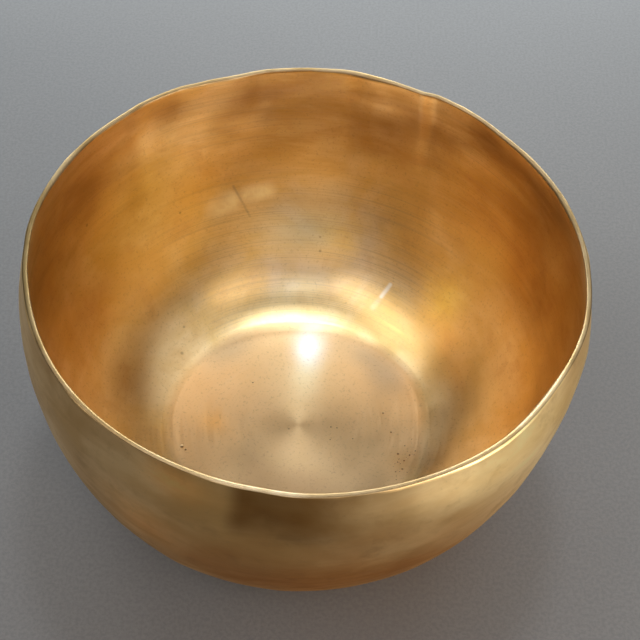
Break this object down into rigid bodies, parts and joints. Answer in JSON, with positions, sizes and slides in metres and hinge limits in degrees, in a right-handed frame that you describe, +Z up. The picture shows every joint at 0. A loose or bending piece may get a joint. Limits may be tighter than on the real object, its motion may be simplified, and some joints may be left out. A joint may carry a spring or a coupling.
{
  "type": "singing bowl",
  "caption": "Deep hand-hammered bronze singing bowl with a flat floor, rounded belly and slightly wavy rim, struck or rubbed to ring.",
  "frame": {"origin": "on the resting plane, under the middle of the bowl's outline", "axes": "+Z up through the mouth, -Y is the side that faces a viewer in front, +X to that viewer's right"},
  "size_m": [0.207, 0.2074, 0.1134],
  "materials": {
    "bronze": "satin hand-hammered bronze with concentric scraping marks inside and a worn patina"
  },
  "bodies": {
    "root": {"bowl": "bronze"}
  },
  "joints": []
}
